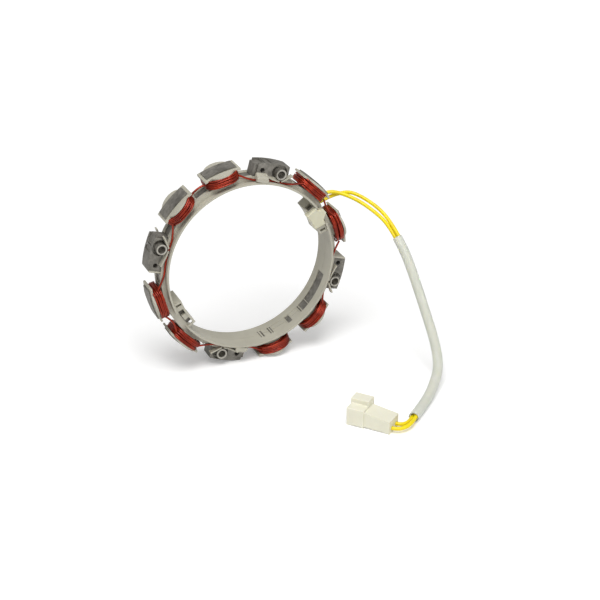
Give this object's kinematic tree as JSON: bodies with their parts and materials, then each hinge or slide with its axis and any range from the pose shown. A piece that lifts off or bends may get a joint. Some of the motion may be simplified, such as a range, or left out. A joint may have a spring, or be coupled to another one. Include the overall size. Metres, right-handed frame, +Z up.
{
  "type": "alternator stator",
  "caption": "Wound stator: laminated steel ring with coils on its poles, moulded insulator, mounting lugs with spacer tubes, and a sleeved two-wire lead with a connector.",
  "frame": {"origin": "middle of the ring's footprint on the surface it stands on, halfway through its thickness, at the height of its lowest steel corners", "axes": "-Y is the wire-link side, which faces the viewer; +Z is up with the ring standing on its edge; +X is the side where the output leads leave"},
  "size_m": [0.1673, 0.1404, 0.1318],
  "materials": {
    "lamination_steel": "dull stamped electrical steel with a thin oxide coat, edges a little darker",
    "insulator_plastic": "ivory glass-filled nylon, satin moulded surface",
    "tube_steel": "plain turned steel, slightly dull",
    "magnet_wire": null,
    "tinned_brass": "tinned brass, satin",
    "lead_insulation": "bright yellow flexible insulation, soft gloss",
    "clear_sleeve": "milky clear flexible tubing with a soft gloss",
    "connector_plastic": "natural white nylon, slightly translucent, satin"
  },
  "bodies": {
    "root": {"lamination_01": "lamination_steel", "lamination_02": "lamination_steel", "lamination_03": "lamination_steel", "lamination_04": "lamination_steel", "lamination_05": "lamination_steel", "lamination_06": "lamination_steel", "lamination_07": "lamination_steel", "lamination_08": "lamination_steel", "lamination_09": "lamination_steel", "lamination_10": "lamination_steel", "lamination_11": "lamination_steel", "lamination_12": "lamination_steel", "lamination_13": "lamination_steel", "lamination_14": "lamination_steel", "lamination_15": "lamination_steel", "insulator_near": "insulator_plastic", "insulator_far": "insulator_plastic", "spacer_tube_1": "tube_steel", "spacer_tube_2": "tube_steel", "spacer_tube_3": "tube_steel", "spacer_tube_4": "tube_steel", "coil_1": "magnet_wire", "coil_2": "magnet_wire", "coil_3": "magnet_wire", "coil_4": "magnet_wire", "coil_5": "magnet_wire", "coil_6": "magnet_wire", "coil_7": "magnet_wire", "coil_8": "magnet_wire", "link_wire_1": "magnet_wire", "link_wire_2": "magnet_wire", "link_wire_3": "magnet_wire", "link_wire_4": "magnet_wire", "link_wire_5": "magnet_wire", "link_wire_6": "magnet_wire", "link_wire_7": "magnet_wire", "splice_cover": "insulator_plastic", "splice_ferrule_1": "tinned_brass", "splice_ferrule_2": "tinned_brass", "lead_wire_1": "lead_insulation", "lead_wire_2": "lead_insulation", "lead_sleeve": "clear_sleeve", "connector_housing": "connector_plastic", "terminal_1": "tinned_brass", "terminal_2": "tinned_brass"}
  },
  "joints": []
}
